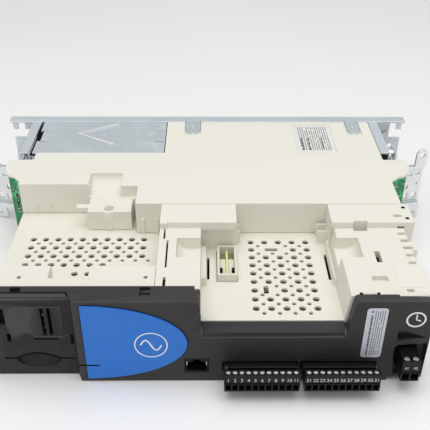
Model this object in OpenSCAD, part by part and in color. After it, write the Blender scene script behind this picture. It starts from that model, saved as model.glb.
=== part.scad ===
// Servo drive, bookcase format, lying on its left side.
// X runs along the drive's height, with its top end at -X. Y runs from the front bezel to the
// back plate. Z is the drive's width. Every module below is drawn with y = 0 at the bezel's front
// face and z = 0 on the side that it lies on, and from_front() moves it to the part's own origin.

/* [Overall size] */
// Width of the drive, its height as it lies
drive_w = 62; // [61.5:0.5:63]
// From the front face of the bezel to the back of the mounting plate
drive_depth = 225; // [224:1:228]
// Length of the mounting plate
plate_len = 316; // [314:1:322]
// Top end of the plastic body, measured from the middle
body_top_end = 130; // [129:0.5:131]
// Bottom end of the plastic body, measured from the middle
body_bottom_end = 127.4; // [127:0.2:128]

/* [Casing] */
// Thickness of the moulded covers
cover_wall = 2; // [1.6:0.2:2.4]
// How far the front half of the cover lies below its rear half
front_drop = 4.5; // [3.5:0.5:5.5]
// Height of the sunk vented floors above the lower side
floor_level = 38; // [37:0.5:39]
// Front of the raised rear section
ridge_front = 97; // [96:0.5:98]
// Front of the raised rear section at the top end
ridge_front_top = 121; // [120:0.5:122]
// Seam between the top front cover and the module bay cover
seam_pos = -30.7; // [-31.2:0.1:-30.2]

/* [Vent holes] */
// Large vent hole, diameter
vent_big_d = 4.2; // [3:0.2:5]
// Small vent hole, diameter
vent_small_d = 2.6; // [2:0.2:3]
// Wide spacing of the holes
vent_pitch_a = 9.1; // [8.8:0.1:9.2]
// Narrow spacing of the holes
vent_pitch_b = 8.17; // [7.9:0.01:8.2]

/* [Module bay] */
// Side of the bay nearest the top end
bay_x0 = -4.6; // [-5:0.1:-4]
// Side of the bay nearest the bottom end
bay_x1 = 78.4; // [78:0.1:79]
// Rear wall of the bay
bay_rear = 79; // [78:0.5:80]

/* [Sheet metal] */
// Thickness of the zinc-plated sheet
sheet = 1.5; // [1:0.1:2]
// Depth of the flange folded forward from the mounting plate
flange = 9; // [8:0.5:10]
// Height of the fixing slot for an M6 screw
fix_slot_w = 7.2; // [6.6:0.1:7.5]

/* [Terminals] */
// Spacing of the control terminals
control_pitch = 3.81; // [3.81:0.01:3.81]
// Spacing of the relay terminals
relay_pitch = 5.08; // [5.08:0.01:5.08]
// Poles on one control plug
control_poles = 11; // [8:1:11]
// How far the plugs stand out of the bezel
plug_proud = 16.5; // [14:0.5:18]

/* [Cooling] */
// Side length of the fan
fan_size = 56; // [50:1:57]
// Thickness of the fan
fan_thick = 25; // [20:1:25]
// Number of fan blades
fan_blades = 7; // [5:1:9]
// Number of heatsink fins
fin_count = 11; // [8:1:12]

/* [Hidden] */

$fn = 48;
eps = 0.01;
// Air left between neighbouring pieces
gap = 0.2;

z_top = drive_w;
z_step = drive_w - front_drop;
plate_x = plate_len / 2;
end_t = -body_top_end;
end_b = body_bottom_end;
flange_y = drive_depth - flange;
// The plugs are the frontmost point, so the origin lies halfway between them and the plate
origin_y = (drive_depth - plug_proud) / 2;

// Power board, standing parallel to the front
board_y = 146.6;
board_t = 1.6;
board_x = 144;
// Ears of the rear cover that shield the ends of the power board
ear_front = 125;
ear_tip = 148.5;
ear_rear = 155;
ear_x = 144.3;
cover_back = flange_y - 0.6;
duct_front = 165;
resistor_x0 = -129.7;
resistor_x1 = -32.6;
side_cover_x0 = -32;

// Cooling duct
sink_y0 = 160;
sink_y1 = 222;
sink_x0 = -125;
sink_x1 = 98;
sink_base = 6;
fan_mid_y = 194.5;
fan_mid_z = drive_w / 2;
inlet_x = 135;
outlet_x = -139;
fan_x1 = inlet_x - sheet - 0.4;
fan_x0 = fan_x1 - fan_thick;
fan_bore = fan_size / 2 - 1.6;
hub_r = 13;

// Front bezel
bezel_rear_top = 14;
bezel_rear_bottom = 6.5;
bezel_wall = 2.2;
keypad_y = 5.7;
keypad_x1 = -74.8;
bay_lip_z = floor_level + 0.3;
badge_x0 = -70.5;
badge_mid_z = 31;
badge_len = 58.7;
badge_half = 28;
badge_t = 0.8;

// Plug-in terminals
plug_z0 = 9.1;
plug_h = 12.3;
// The rear of a plug is lower than its front, which stands clear of the bezel
plug_low = 6.8;
plug_step = 11.6;
plug_w = control_poles * control_pitch + 0.8;
plug_a_x = 30.3;
plug_b_x = 75.65;
plug_rear = 3.5;
header_rear = 9.4;
relay_x = 114.8;
relay_z0 = 11.2;
relay_h = 15;
relay_proud = 11;
relay_w = 2 * relay_pitch + 0.3;
relay_rear = 6.4;

// Control board, parallel to the side
control_z = 28.6;

module from_front() {
    translate([0, -origin_y, 0]) children();
}

module block(x, y, z) {
    translate([x[0], y[0], z[0]]) cube([x[1] - x[0], y[1] - y[0], z[1] - z[0]]);
}

module rod_x(x, y, z, r) {
    translate([x[0], y, z]) rotate([0, 90, 0]) cylinder(h = x[1] - x[0], r = r);
}

module rod_y(x, y, z, r) {
    translate([x, y[1], z]) rotate([90, 0, 0]) cylinder(h = y[1] - y[0], r = r);
}

module rod_z(x, y, z, r) {
    translate([x, y, z[0]]) cylinder(h = z[1] - z[0], r = r);
}

// Points on an arc of an ellipse, from angle a0 to angle a1
function arc(cx, cy, rx, ry, a0, a1, n = 8) =
    [for (i = [0:n]) let (a = a0 + (a1 - a0) * i / n) [cx + rx * cos(a), cy + ry * sin(a)]];

// Prism standing along X with its outline given in Y and Z
module prism_x(x, points) {
    translate([x[0], 0, 0])
        rotate([90, 0, 90])
            linear_extrude(height = x[1] - x[0]) polygon(points);
}

// Prism standing along Y with its outline given in X and Z
module prism_y(y, points) {
    translate([0, y[1], 0])
        rotate([90, 0, 0])
            linear_extrude(height = y[1] - y[0]) polygon(points);
}

module prism_z(z, points) {
    translate([0, 0, z[0]]) linear_extrude(height = z[1] - z[0]) polygon(points);
}

// ---- Mounting plate and cooling duct ----

module fixing_slot(side) {
    // A slot open at the plate's end, with a pocket above it for the screw to drop into
    low = 43.9;
    pocket = [148.4, 153.6];
    block(side > 0 ? [pocket[0], plate_x + 1] : [-plate_x - 1, -141],
        [flange_y - 1, drive_depth + 1], [low, low + fix_slot_w]);
    block(side > 0 ? pocket : [-pocket[1], -pocket[0]],
        [flange_y + 2, drive_depth + 1], [low, 57.5]);
}

module tongue(x0, x1, tip_y) {
    // Straight sides, then a half-oval tip
    oval_len = 10;
    half = (x1 - x0) / 2;
    prism_z([z_top - sheet, z_top], concat([[x0, flange_y + 1]],
        arc(x0 + half, tip_y + oval_len, half, oval_len, 180, 360, 14),
        [[x1, flange_y + 1]]));
}

tongue_a = [-17.5, -5.9];
tongue_b = [108.9, 119.2];
tongue_tip = 195.2;
rivet_y = 206;
// Rivet in the plate beside the slot at the bottom end
plate_rivet = [145.2, 47.3];

module mounting_plate() {
    color("LightSteelBlue") from_front() difference() {
        union() {
            block([-plate_x, plate_x], [drive_depth - sheet, drive_depth], [0, z_top]);
            block([-plate_x, plate_x], [flange_y, drive_depth], [z_top - sheet, z_top]);
            block([-plate_x, plate_x], [flange_y, drive_depth], [0, sheet]);
            tongue(tongue_a[0], tongue_a[1], tongue_tip);
            tongue(tongue_b[0], tongue_b[1], tongue_tip);
        }
        fixing_slot(1);
        fixing_slot(-1);
        for (t = [tongue_a, tongue_b])
            rod_z((t[0] + t[1]) / 2, rivet_y, [z_top - 3, z_top + 1], 1.6);
        rod_y(plate_rivet[0], [drive_depth - 3, drive_depth + 1], plate_rivet[1], 1.6);
        rod_y(150.4, [drive_depth - 3, drive_depth + 1], 36.3, 2);
    }
}

module foot_screw_hole(x) {
    rod_x(x, bracket_y + foot_screw_y, foot_screw_z, 1.7);
}

module duct_end(x, lip) {
    // Upright sheet across the end of the duct, with a lip folded over at the top and bottom
    difference() {
        union() {
            block(x, [duct_front, drive_depth - sheet - gap], [0, z_top]);
            block(lip, [duct_front, flange_y - gap], [z_top - sheet, z_top]);
            block(lip, [duct_front, flange_y - gap], [0, sheet]);
        }
        children();
        block([x[0] - 5, x[1] + 5], [flange_y - gap, drive_depth], [z_top - sheet - gap, z_top + 1]);
        block([x[0] - 5, x[1] + 5], [flange_y - gap, drive_depth], [-1, sheet + gap]);
    }
}

module outlet_frame() {
    comb_pitch = 2.4;
    comb_count = 5;
    color("LightSteelBlue") from_front() {
        duct_end([outlet_x, outlet_x + sheet], [outlet_x, outlet_x + 7]) {
            block([outlet_x - 1, outlet_x + 3], [171, 215], [11, 51]);
            foot_screw_hole([outlet_x - 1, outlet_x + 3]);
        }
        for (i = [1:comb_count])
            block([outlet_x + i * comb_pitch, outlet_x + i * comb_pitch + 1],
                [157, duct_front + eps], [46, 59]);
        block([outlet_x + comb_pitch, outlet_x + comb_count * comb_pitch + 1],
            [duct_front, duct_front + 1], [46, 59]);
        block([outlet_x, outlet_x + comb_pitch + 1], [duct_front, duct_front + 1], [46, z_top]);
    }
}

module inlet_frame() {
    color("LightSteelBlue") from_front()
        duct_end([inlet_x - sheet, inlet_x], [inlet_x - 7.2, inlet_x]) {
            rod_x([inlet_x - 3, inlet_x + 3], fan_mid_y, fan_mid_z, fan_bore);
            fan_holes([inlet_x - 3, inlet_x + 3], 1.7);
            foot_screw_hole([inlet_x - 3, inlet_x + 3]);
        }
}

module duct_skin() {
    color("LightSteelBlue") from_front()
        block([outlet_x + 7.3, inlet_x - 7.5], [duct_front, flange_y - gap], [0, sheet]);
}

module heatsink() {
    fin_t = 1.7;
    z0 = 2.2;
    z1 = 59.4;
    pitch = (z1 - z0 - fin_t) / (fin_count - 1);
    color("Gainsboro") from_front() difference() {
        union() {
            block([sink_x0, sink_x1], [sink_y0, sink_y0 + sink_base], [z0, z1]);
            for (i = [0:fin_count - 1])
                block([sink_x0, sink_x1], [sink_y0 + sink_base - eps, sink_y1],
                    [z0 + i * pitch, z0 + i * pitch + fin_t]);
        }
        block([sink_x0 - 1, resistor_x1 + 0.6], [duct_front + 2, sink_y1 + 1], [41.5, z_top]);
        for (x = [-70, -40, 10, 50])
            rod_y(x, [sink_y0 - 1, sink_y0 + sink_base + 1], 31, 1.65);
    }
}

module brake_resistor() {
    color("Silver") from_front() difference() {
        union() {
            block([-124, -40], [171, 211], [42, 46]);
            block([-120, -44], [175, 207], [46, 58.6]);
            for (i = [0:8])
                block([-116 + i * 8.4, -114 + i * 8.4], [173, 209], [46, 57]);
        }
        for (x = [-122, -42], y = [174, 208])
            rod_z(x, y, [41, 47], 1.1);
    }
}

module resistor_cover() {
    // Raised three-sided stiffening rib around a round dimple
    pad = [[-102.3, 196.1], [-69.5, 213.2], [-70.4, 176.8]];
    inner = [[-95, 195.9], [-73, 207.6], [-73.6, 182.6]];
    color("LightSteelBlue") from_front() {
        difference() {
            block([resistor_x0, resistor_x1], [duct_front + 0.4, flange_y - 0.4],
                [z_top - sheet, z_top - 0.4]);
            block([resistor_x0 - 1, resistor_x0 + 2.4], [184, 200], [z_top - 3, z_top + 1]);
            for (x = [resistor_x0 + 4, resistor_x1 - 5]) {
                block([x - 3, x + 4], [183, 183.8], [z_top - 3, z_top + 1]);
                block([x - 3, x + 4], [200, 200.8], [z_top - 3, z_top + 1]);
            }
        }
        difference() {
            prism_z([z_top - 0.5, z_top], pad);
            prism_z([z_top - 1, z_top + 1], inner);
        }
        rod_z(-80.5, 195.5, [z_top - 0.5, z_top], 2.2);
    }
}

module cover_clip() {
    color("DarkGoldenrod") from_front() {
        rod_z(-35.6, 192, [z_top - sheet - 3, z_top - sheet - gap / 4], 2);
    }
}

module cover_rivets() {
    plate_front = drive_depth - sheet;
    color("Gainsboro") from_front() {
        for (t = [tongue_a, tongue_b])
            rod_z((t[0] + t[1]) / 2, rivet_y, [z_top - 2.4, z_top - 0.7], 1.5);
        rod_y(plate_rivet[0], [plate_front - 1.6, plate_front - 0.05], plate_rivet[1], 2.5);
        rod_y(plate_rivet[0], [plate_front - 1, drive_depth - 0.2], plate_rivet[1], 1.5);
    }
}

// ---- Fan ----

module fan_holes(x, r) {
    for (a = [-1, 1], b = [-1, 1])
        rod_x(x, fan_mid_y + a * (fan_size / 2 - 3.2), fan_mid_z + b * (fan_size / 2 - 3.2), r);
}

module fan_frame() {
    half = fan_size / 2;
    color("DimGray") from_front() difference() {
        union() {
            difference() {
                block([fan_x0, fan_x1], [fan_mid_y - half, fan_mid_y + half],
                    [fan_mid_z - half, fan_mid_z + half]);
                rod_x([fan_x0 - 1, fan_x1 + 1], fan_mid_y, fan_mid_z, fan_bore);
            }
            for (a = [0:90:270])
                translate([fan_x0 + 1.5, fan_mid_y, fan_mid_z]) rotate([a + 45, 0, 0])
                    translate([0, 0, fan_bore / 2]) cube([3, 3, fan_bore + 1], center = true);
            rod_x([fan_x0, fan_x0 + 3], fan_mid_y, fan_mid_z, hub_r);
            rod_x([fan_x0, fan_x0 + 12], fan_mid_y, fan_mid_z, 3);
        }
        fan_holes([fan_x0 - 1, fan_x1 + 1], 1.7);
    }
}

module fan_rotor() {
    hub_x0 = fan_x0 + 4;
    hub_x1 = fan_x1 - 2;
    tip_r = fan_bore - 0.8;
    color("Black") from_front() translate([0, fan_mid_y, fan_mid_z]) {
        difference() {
            rod_x([hub_x0, hub_x1], 0, 0, hub_r);
            rod_x([hub_x0 - 1, fan_x0 + 13], 0, 0, 3.05);
        }
        for (i = [0:fan_blades - 1])
            rotate([i * 360 / fan_blades, 0, 0])
                translate([(hub_x0 + hub_x1) / 2, 0, (hub_r + tip_r) / 2 - 0.5])
                    rotate([0, 0, 38]) cube([17, 1.4, tip_r - hub_r + 0.6], center = true);
    }
}

module fan_guard() {
    wire = 0.7;
    guard_x = inlet_x + wire + 0.05;
    reach = fan_size / 2 - 3.2;
    color("Silver") from_front() translate([guard_x, fan_mid_y, fan_mid_z]) {
        for (r = [7, 13, 19, 25])
            rotate([0, 90, 0]) rotate_extrude() translate([r, 0]) circle(r = wire, $fn = 16);
        for (a = [45:90:315])
            rotate([a, 0, 0]) {
                translate([0.25, 0, 5.8]) cylinder(h = reach * sqrt(2) - 8.2, r = wire + 0.2, $fn = 16);
                translate([-wire, 0, reach * sqrt(2)]) rotate([0, 90, 0]) difference() {
                    cylinder(h = 2 * wire, r = 3.4);
                    translate([0, 0, -1]) cylinder(h = 4, r = 1.6);
                }
            }
    }
}

// ---- Boards and what they carry ----

module power_board() {
    color("ForestGreen") from_front() difference() {
        block([-board_x, board_x], [board_y, board_y + board_t], [3, 58.5]);
        for (x = [-110, -20, 70, 118], z = [8, 54])
            rod_y(x, [board_y - 1, board_y + board_t + 1], z, 1.6);
    }
}

module module_body(x0, x1) {
    back = board_y + board_t + gap / 2;
    difference() {
        union() {
            block([x0, x1], [back, sink_y0 - 0.02], [12, 50]);
            block([x0 - 5, x1 + 5], [sink_y0 - 5, sink_y0 - 0.02], [24, 38]);
        }
        for (x = [x0 - 2.5, x1 + 2.5])
            rod_y(x, [sink_y0 - 6, sink_y0 + 1], 31, 1.4);
    }
}

module igbt_module() {
    color("White") from_front() module_body(-67.5 + 5, -42.5);
}

module rectifier_module() {
    color("LightGray") from_front() module_body(12.5, 47.5);
}

module bus_capacitors() {
    can_r = 13;
    can_len = 42;
    front = board_y - gap / 2 - can_len;
    color("SteelBlue") from_front()
        for (i = [0:3], z = [17, 44])
            rod_y(-30 + i * 27.5, [front, front + can_len], z, can_r);
}

module filter_choke() {
    // Ring core with its windings as separate lobes
    color("Peru") from_front() translate([94, 116, 4.5]) {
        rotate_extrude() translate([11, 6]) square([9, 12], center = true);
        for (a = [0:30:330])
            rotate([0, 0, a]) translate([11, 0, 6]) cube([11.4, 2.4, 14.4], center = true);
    }
}

module filter_capacitors() {
    color("Gold") from_front() {
        block([73, 90], [board_y - 9, board_y - gap / 2], [24, 52]);
        block([94, 111], [board_y - 9, board_y - gap / 2], [24, 52]);
    }
}

module inrush_relay() {
    color("MidnightBlue") from_front() {
        block([-112, -84], [board_y - 16, board_y - gap / 2], [8, 34]);
    }
}

module board_link() {
    // Pin header between the power board and the control board
    color("Black") from_front() {
        block([-70, -56], [93.4, 97], [24, 36]);
        for (i = [0:4])
            block([-68.5 + i * 2.54, -67.9 + i * 2.54], [97 - eps, board_y - gap / 4], [30, 30.6]);
    }
}

module board_spacers() {
    color("Goldenrod") from_front()
        for (x = [-110, -20, 70, 118], z = [8, 54])
            difference() {
                rod_y(x, [board_y + board_t + 0.05, sink_y0 - 0.05], z, 3);
                rod_y(x, [board_y + board_t - 1, sink_y0 + 1], z, 1.25);
            }
}

module control_board() {
    color("ForestGreen") from_front()
        block([-122, 121], [12.4, 93], [control_z, control_z + board_t]);
}

module processor_chip() {
    color("Black") from_front() {
        z0 = control_z + board_t + 0.02;
        block([25, 49], [52, 76], [z0, z0 + 1.8]);
        block([-8, 6], [22, 38], [z0, z0 + 1.4]);
        block([-60, -46], [50, 64], [z0, z0 + 1.6]);
    }
}

module splash_screen() {
    // Two thin trays that catch drips under the vented floors
    z = [floor_level - 5.2, floor_level - 4.4];
    color("Tan") from_front() {
        block([-124, -36], [40, 93], z);
        block([21.5, 71], [15, 94], z);
    }
}

// ---- Moulded covers ----

// Posts that carry the control board
post_x = [-98, 96];
post_y = [30, 84];

module base_shell() {
    // Lower side and the lower half of both ends
    half_z = 34;
    color("Ivory") from_front() difference() {
        union() {
            block([end_t, end_b], [16, duct_front - 0.4], [0, cover_wall]);
            block([end_t, end_t + cover_wall], [16, board_y - 0.6], [0, half_z]);
            block([end_b - cover_wall, end_b], [16, board_y - 0.6], [0, half_z]);
            for (x = post_x, y = post_y)
                rod_z(x, y, [0, control_z - 0.02], 3.2);
        }
        for (x = post_x, y = post_y)
            rod_z(x, y, [6, control_z + 1], 1.2);
        // Openings for the end sockets
        block([end_t - 1, end_t + 3], [41.8, 94.2], [5.8, 22.2]);
        block([end_b - 3, end_b + 1], [51.8, 94.2], [5.8, 22.2]);
        block([end_b - 3, end_b + 1], [20.8, 47.2], [7.8, 20.2]);
        // Cooling slots
        for (i = [0:11])
            block([-100 + i * 18, -88 + i * 18], [104, 107], [-1, cover_wall + 1]);
    }
}

// Half of an ear's outline, as a path from its front root to its rear root
function ear_path(root, tip) = concat(
    [[root, ear_front]],
    arc(tip - 0.62 * (tip - root), ear_tip, 0.62 * (tip - root), 17, -90, 0, 8),
    [[tip, ear_tip + 3.5], [tip * 0.985, ear_rear - 0.4], [root, ear_rear]]);

function reversed(list) = [for (i = [len(list) - 1:-1:0]) list[i]];

scoop_x = [-82, -59.7];
scoop_y = 136;
hook_x1 = -48;
hook_y = 119;
boss_top = 53;
boss_x = [-80.8, -51.5];
boss_front = 100.6;
boss_hole = [-66.7, 105];

module rear_top_skin() {
    outline = concat(
        [[hook_x1, ridge_front], [end_b, ridge_front]],
        ear_path(end_b, ear_x),
        [[end_b, cover_back], [side_cover_x0, cover_back], [side_cover_x0, duct_front],
            [-126.5, duct_front]],
        [[-126.5, ear_rear], [end_t, ear_rear]],
        reversed(ear_path(end_t, -ear_x)),
        [[end_t, ridge_front_top], [scoop_x[0], ridge_front_top], [scoop_x[0], scoop_y],
            [scoop_x[1], scoop_y], [scoop_x[1], hook_y], [hook_x1, hook_y]]);
    prism_z([z_top - cover_wall, z_top], outline);
}

module scoop_ramp() {
    // Finger scoop that curves down to the screw boss
    prism_x([scoop_x[0] - 0.1, scoop_x[1] + 0.1], concat(
        [[hook_y, floor_level], [hook_y, boss_top], [122, boss_top]],
        reversed(arc(122, z_top, scoop_y - 122, z_top - boss_top, 0, -90, 10)),
        [[scoop_y + cover_wall, z_top], [scoop_y + cover_wall, floor_level]]));
}

module rear_side_cover() {
    wall_base = floor_level + 0.2;
    color("Ivory") from_front() difference() {
        union() {
            rear_top_skin();
            block([hook_x1, end_b], [ridge_front, ridge_front + cover_wall], [wall_base, z_top - 1]);
            block([end_t, boss_x[0]], [ridge_front_top, ridge_front_top + cover_wall],
                [wall_base, z_top - 1]);
            block([end_b - cover_wall, end_b], [ridge_front, board_y - 0.6], [36, z_top - 1]);
            block([end_t, end_t + cover_wall], [ridge_front_top, board_y - 0.6], [36, z_top - 1]);
            block([hook_x1, hook_x1 + cover_wall], [ridge_front, hook_y], [wall_base, z_top - 1]);
            block([boss_x[1] - 8.2, hook_x1 + cover_wall], [hook_y, hook_y + cover_wall],
                [wall_base, z_top - 1]);
            scoop_ramp();
            for (x = [scoop_x[0] - cover_wall, scoop_x[1]])
                block([x, x + cover_wall], [ridge_front_top, scoop_y + cover_wall],
                    [wall_base, z_top - 1]);
            block(boss_x, [boss_front, hook_y + 1], [wall_base, boss_top]);
            rod_z(boss_hole[0], boss_hole[1], [wall_base, boss_top], 5.4);
            block([-89, boss_x[0] + 1], [105.4, 110], [boss_top - 3.4, boss_top]);
            block([boss_x[1] - 1, hook_x1 + 1], [115, hook_y + 1], [wall_base, boss_top + 1]);
            // Ribs on the front of the ridge
            for (x = [-43.4, -33.9])
                block([x - 0.8, x + 0.8], [ridge_front - 1.6, ridge_front + 1], [wall_base, 50]);
            for (x = [-118.5, -109])
                rod_z(x, ridge_front_top, [43, 45], 1);
        }
        rod_z(boss_hole[0], boss_hole[1], [boss_top - 6, boss_top + 1], 3.3);
        rod_z(boss_hole[0], boss_hole[1], [wall_base - 1, boss_top], 1.7);
        // Seats for the two tongues of the mounting plate and the rating label
        for (t = [tongue_a, tongue_b]) {
            block([t[0] - 0.4, t[1] + 0.4], [tongue_tip - 0.5, cover_back + 1],
                [z_top - sheet - 0.1, z_top + 1]);
            rod_z((t[0] + t[1]) / 2, rivet_y, [z_top - 5, z_top + 1], 1.6);
        }
        block([67, 95.8], [165.7, 209.8], [z_top - 0.3, z_top + 1]);
    }
}

module cover_screw() {
    head_z = boss_top - 2.6;
    color("Silver") from_front() translate([boss_hole[0], boss_hole[1], 0]) difference() {
        union() {
            translate([0, 0, head_z - 3.2]) cylinder(h = 2.6, r = 3);
            translate([0, 0, floor_level - 6]) cylinder(h = head_z - 3 - floor_level + 6, r = 1.55);
        }
        for (a = [0, 90])
            rotate([0, 0, a]) translate([-1.9, -0.4, head_z - 1.8]) cube([3.8, 0.8, 2]);
    }
}

module vent_field(x0, y0, nx, ny, px, py, z, no_big = [], no_small = []) {
    // Rows of large holes with a small hole in the middle of each square of four.
    // no_big and no_small list the column and row of holes that are left out
    for (i = [0:nx - 1], j = [0:ny - 1])
        if (len([for (hole = no_big) if (hole == [i, j]) 1]) == 0)
            rod_z(x0 + i * px, y0 - j * py, z, vent_big_d / 2);
    for (i = [0:nx - 2], j = [0:ny - 2])
        if (len([for (hole = no_small) if (hole == [i, j]) 1]) == 0)
            rod_z(x0 + (i + 0.5) * px, y0 - (j + 0.5) * py, z, vent_small_d / 2);
}

ledge_rear = 37.2;
ledge_notch = [-92.5, -69.5];
notch_front = 25.6;

module top_front_cover() {
    x1 = seam_pos - gap / 2;
    floor_z = [floor_level - cover_wall, floor_level];
    hole_z = [floor_level - 3, floor_level + 1];
    color("Ivory") from_front() difference() {
        union() {
            block([end_t, hook_x1 - 0.3], [16, ridge_front_top - 0.3], floor_z);
            block([end_t + 2.3, boss_x[0]], [16, ridge_front_top + 1.7], floor_z);
            block([hook_x1 - 1, x1], [16, ridge_front + 1.7], floor_z);
            // Ledge along the bezel, with its lower notch
            block([end_t, x1], [bezel_rear_top + 0.3, ledge_rear], [z_step - cover_wall, z_step]);
            block([end_t, x1], [ledge_rear - cover_wall, ledge_rear], [floor_level - 1, z_step]);
            block([ledge_notch[0] - 2, ledge_notch[1] + 2], [notch_front - 2, ledge_rear],
                [floor_level - 1, z_step]);
            block([end_t, end_t + cover_wall], [16, ledge_rear], [floor_level - 1, z_step]);
        }
        block(ledge_notch, [notch_front, ledge_rear + 1], [floor_level, z_top]);
        vent_field(-116.2, 90, 10, 3, vent_pitch_b, vent_pitch_a, hole_z);
        for (j = [3, 4])
            vent_field(-116.2 + (j == 4 ? 4 * vent_pitch_b : 0), 90 - j * vent_pitch_a,
                j == 4 ? 3 : 7, 1, vent_pitch_b, vent_pitch_a, hole_z);
        for (i = [0:9])
            rod_z(-116.2 + (i + 0.5) * vent_pitch_b, 90 - 2.5 * vent_pitch_a, hole_z,
                vent_small_d / 2);
        for (x = [-109.1, -36.2])
            rod_z(x, 26.6, [z_step - 3, z_step + 1], 1.3);
        // Clearance for the screw boss and the seat of the rear cover
        block([boss_x[0] - 0.3, -30], [boss_front - 5, ridge_front_top], [floor_level + 0.1, z_top]);
        rod_z(boss_hole[0], boss_hole[1], hole_z, 1.8);
    }
}

scoop_depth = 8.2;
scoop_round = 8;

module finger_scoop(x0, x1, round_left) {
    // Pocket open towards the bay, with one rounded lower corner
    z0 = z_step - scoop_depth;
    corner = round_left
        ? concat(arc(x0 + scoop_round, z0 + scoop_round, scoop_round, scoop_round, 180, 270, 8),
            [[x1, z0], [x1, z_step + 1], [x0, z_step + 1]])
        : concat([[x0, z0]],
            arc(x1 - scoop_round, z0 + scoop_round, scoop_round, scoop_round, 270, 360, 8),
            [[x1, z_step + 1], [x0, z_step + 1]]);
    prism_y([45.2, 64.6], corner);
}

module rounded_slot(x, y, z) {
    r = 1.3;
    block([x[0] + r, x[1] - r], [y - r, y + r], z);
    rod_z(x[0] + r, y, z, r);
    rod_z(x[1] - r, y, z, r);
}

block_a_front = 75.3;

module module_bay_cover() {
    x0 = seam_pos + gap / 2;
    rear = ridge_front - 0.3;
    hole_z = [floor_level - 3, floor_level + 1];
    color("Ivory") from_front() difference() {
        union() {
            // Vented floor
            block([x0, end_b], [16, rear], [floor_level - cover_wall, floor_level]);
            block([x0, end_b - 2.3], [rear - 1, ridge_front + 1.7], [floor_level - cover_wall, floor_level]);
            block([bay_x0 + 0.2, end_b], [10.9, 17], [floor_level - cover_wall, floor_level]);
            // Block between the seam and the bay
            block([x0, bay_x0], [16, rear], [floor_level - 1, z_step]);
            block([-25.9, 18.2], [block_a_front, rear], [floor_level - 1, z_top - 0.2]);
            block([x0, -25.9 + eps], [block_a_front - 1, rear], [floor_level - 1, z_top - 0.2]);
            // Block at the bottom end
            block([bay_x1, 124.6], [9.6, rear], [floor_level - 1, z_step]);
            block([bay_x1, 131.2], [block_a_front, rear], [floor_level - 1, z_top - 0.2]);
            block([124, end_b], [10, 36.4], [floor_level - 1, z_step]);
            block([124, 128], [52, 61.5], [floor_level - 1, z_step]);
            // Guide rails of the bay
            block([bay_x0 - eps, -1.3], [41.7, bay_rear + 1], [floor_level - 1, 44]);
            block([76.6, bay_x1 + 1.2], [41.7, bay_rear + 1], [floor_level - 1, 44.4]);
            // Ribs at the rear corners of the bay
            for (y = [85.2, 93]) {
                block([71.6, bay_x1 + eps], [y, y + 1.2], [floor_level - 1, 47.9]);
                block([18.2 - eps, 21.2], [y, y + 1.2], [floor_level - 1, 47.9]);
            }
        }
        // Room behind the lip of the block
        block([bay_x0, 18.3], [block_a_front - 1, bay_rear], [floor_level, z_step - 1.5]);
        finger_scoop(-19.4, bay_x0 + 0.1, true);
        finger_scoop(bay_x1 - 0.1, 93.4, false);
        vent_field(28.2, 86.6, 5, 9, vent_pitch_a, vent_pitch_b, hole_z,
            [[1, 1], [2, 1], [1, 6]], [[1, 0], [0, 5]]);
        for (i = [0:3])
            rod_z(28.2 + (i + 0.5) * vent_pitch_a, 86.6 - 8.5 * vent_pitch_b, hole_z,
                vent_small_d / 2);
        // Opening around the module socket, and narrow slots beside the rails
        block([5.4, 18.4], [45.6, 76.6], hole_z);
        block([-0.7, 0.8], [48, 70], hole_z);
        block([74.9, 76.6 + eps], [47.5, 73], hole_z);
        // Slits along the seam
        block([-27.9, -26.8], [64, 74], [z_step - 8, z_step + 1]);
        block([-25.7, -24.6], [35.5, 62.5], [z_step - 8, z_step + 1]);
        block([-26.2, -24.6], [15, 26.5], [z_step - 8, z_step + 1]);
        // Rectangular openings among the vent holes
        block([37.1, 45.4], [77, 79.9], hole_z);
        block([33.8, 36.7], [34.7, 41.6], hole_z);
        // Draft of the wall beside the bay
        prism_y([9, block_a_front - eps], [[bay_x1 - 1, floor_level + 5],
            [bay_x1, floor_level + 5], [bay_x1 + 1.8, z_step + 0.1], [bay_x1 - 1, z_step + 0.1]]);
        // Notch and clip windows
        block([92.4, 101], [72.3, 77.2], [z_step - 6, z_top]);
        block([100.8, 104], [40.2, 51], [z_step - 5, z_step + 1]);
        block([94.8, 103.8], [22.4, 27.1], [z_step - 3, z_step + 1]);
        block([112.5, 116.5], [13.1, 15.5], [z_step - 3, z_step + 1]);
        for (i = [0:5])
            rounded_slot([119.2, 126], 39.6 + i * 7.4, [z_step - 4, z_step + 1]);
        rounded_slot([118.8, 124.6], 83, [z_top - 4, z_top + 1]);
        // Hollow under the two blocks
        block([x0 + 2, bay_x0 - 2], [18, rear - 2], [floor_level - 2, z_step - 11]);
        block([bay_x1 + 2, 122.5], [17, rear - 2], [floor_level - 2, z_step - 11]);
    }
}

module module_socket() {
    color("Ivory") from_front() difference() {
        union() {
            block([5.7, 18.1], [45.9, 76.3], [floor_level - 5, floor_level + 5]);
        }
        block([7.3, 16.5], [47.7, 74.7], [floor_level - 3, floor_level + 6]);
    }
}

module module_blade() {
    color("YellowGreen") from_front() {
        block([11.3, 12.5], [49, 73], [floor_level - 2.95, floor_level + 3]);
    }
}

// ---- Front bezel ----

function bezel_outline() = [
    [end_t + 0.4, 0.2], [end_b - 1.6, 0.2], [end_b - 1.6, z_top - 0.6],
    each arc(bay_x1 + 4.6, z_top - 2.8, 2.2, 2.2, 90, 180, 6),
    [bay_x1, bay_lip_z], [bay_x0, bay_lip_z], [bay_x0, z_top - 3.6],
    [bay_x0 - 0.9, z_top - 1.5], [bay_x0 - 3, z_top - 0.6], [end_t + 0.4, z_top - 0.6]];

network_x = [-13.6, 0.2];
network_z = [7.2, 18.2];
label_x = [87.6, 99.4];
label_z = [19.2, 56.8];
label_r = 2;
lamp_recess = 4.6;
relay_bay = 4;

rim_y = 8.9;
rim_z = z_top - 4.6;
rim_slope = 2.4;

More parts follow.
